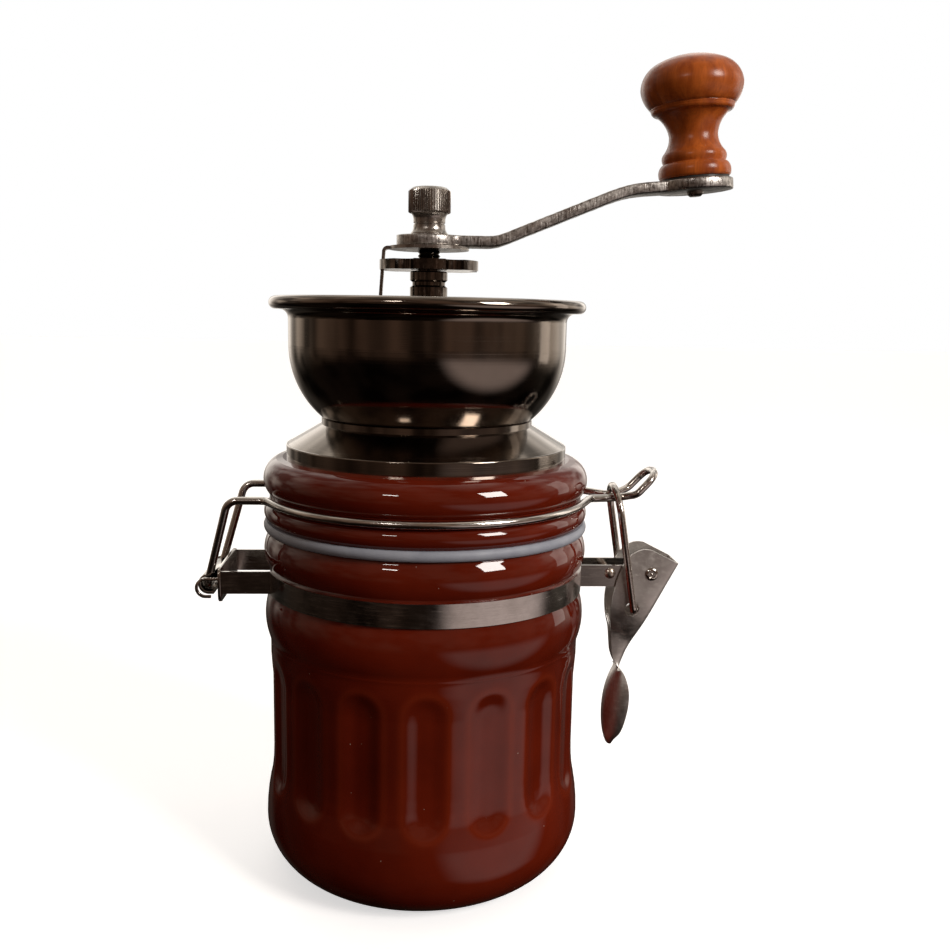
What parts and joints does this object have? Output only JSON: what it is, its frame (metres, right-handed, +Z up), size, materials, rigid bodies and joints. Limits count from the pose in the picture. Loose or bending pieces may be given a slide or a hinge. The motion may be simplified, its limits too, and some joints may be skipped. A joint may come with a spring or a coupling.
{
  "type": "hand crank coffee grinder",
  "caption": "Hand crank coffee mill with a spun metal hopper on a swing-top lid, a fluted glazed ceramic jar, a wire bail latch and a turned wooden knob.",
  "frame": {"origin": "centre of the jar's flat base, on the surface it stands on", "axes": "+Z up along the shaft, +X from the hinge towards the latch and, at rest, along the crank arm"},
  "size_m": [0.1654, 0.1032, 0.256],
  "materials": {
    "brown_glaze": "high gloss red-brown glaze",
    "seal_rubber": "matte silicone",
    "dark_nickel": "black nickel plate, mirror",
    "antique_nickel": "worn antique nickel plate",
    "bright_steel": "bright stainless steel, finely scratched",
    "plain_steel": "plain plated steel",
    "burr_iron": "ground cast iron",
    "knob_wood": "varnished turned wood",
    "dark_washer": "matte"
  },
  "bodies": {
    "root": {"jar": "brown_glaze", "clamp_band_front": "bright_steel", "clamp_band_rear": "bright_steel", "hinge_plate": "bright_steel", "band_tie_rivet": "bright_steel", "lever_pivot_rivet": "bright_steel"},
    "lid": {"bail_wire": "bright_steel", "lid_collar": "brown_glaze", "lid_gasket": "seal_rubber", "hopper_base": "dark_nickel", "hopper_bowl": "dark_nickel", "shaft_bridge": "antique_nickel", "bridge_screws": "antique_nickel", "bridge_bushing": "antique_nickel", "throat_bearing": "antique_nickel", "burr_housing": "plain_steel", "housing_screws": "plain_steel", "outer_burr": "burr_iron"},
    "wheel": {"adjusting_nut": "antique_nickel"},
    "crank": {"shaft": "antique_nickel", "inner_burr": "burr_iron", "burr_nut": "plain_steel", "burr_spring": "plain_steel", "lock_clip": "antique_nickel", "crank_arm": "antique_nickel", "thumb_nut": "antique_nickel", "knob_washer": "dark_washer", "knob_pin": "antique_nickel"},
    "handle": {"knob": "knob_wood"},
    "lever": {"latch_lever": "bright_steel"},
    "link": {"latch_link": "bright_steel"}
  },
  "joints": [
    {"name": "lid_hinge", "type": "hinge", "parent": "root", "child": "lid", "pos_m": [-0.0673, 0, 0.093], "axis": [0, -1, 0], "range_deg": [0, 95]},
    {"name": "crank_spin", "type": "hinge", "parent": "lid", "child": "wheel", "pos_m": [0, 0, 0.19], "axis": [0, 0, 1], "continuous": true},
    {"name": "burr_gap", "type": "slide", "parent": "wheel", "child": "crank", "axis": [0, 0, 1], "range_m": [-0.0012, 0.0004], "deforming": ["burr_spring"]},
    {"name": "knob_spin", "type": "hinge", "parent": "crank", "child": "handle", "pos_m": [0.082, 0, 0.2175], "axis": [-0.0872, 0, 0.9962], "continuous": true},
    {"name": "latch_lever_hinge", "type": "hinge", "parent": "root", "child": "lever", "pos_m": [0.0726, 0, 0.0956], "axis": [0, -1, 0], "range_deg": [0, 120]},
    {"name": "latch_link_hinge", "type": "hinge", "parent": "lid", "child": "link", "pos_m": [0.0602, 0, 0.1233], "axis": [0, -1, 0], "range_deg": [0, 39]}
  ],
  "couplings": [
    {"joint": "latch_link_hinge", "follows": "latch_lever_hinge", "ratio": 0.3225}
  ]
}
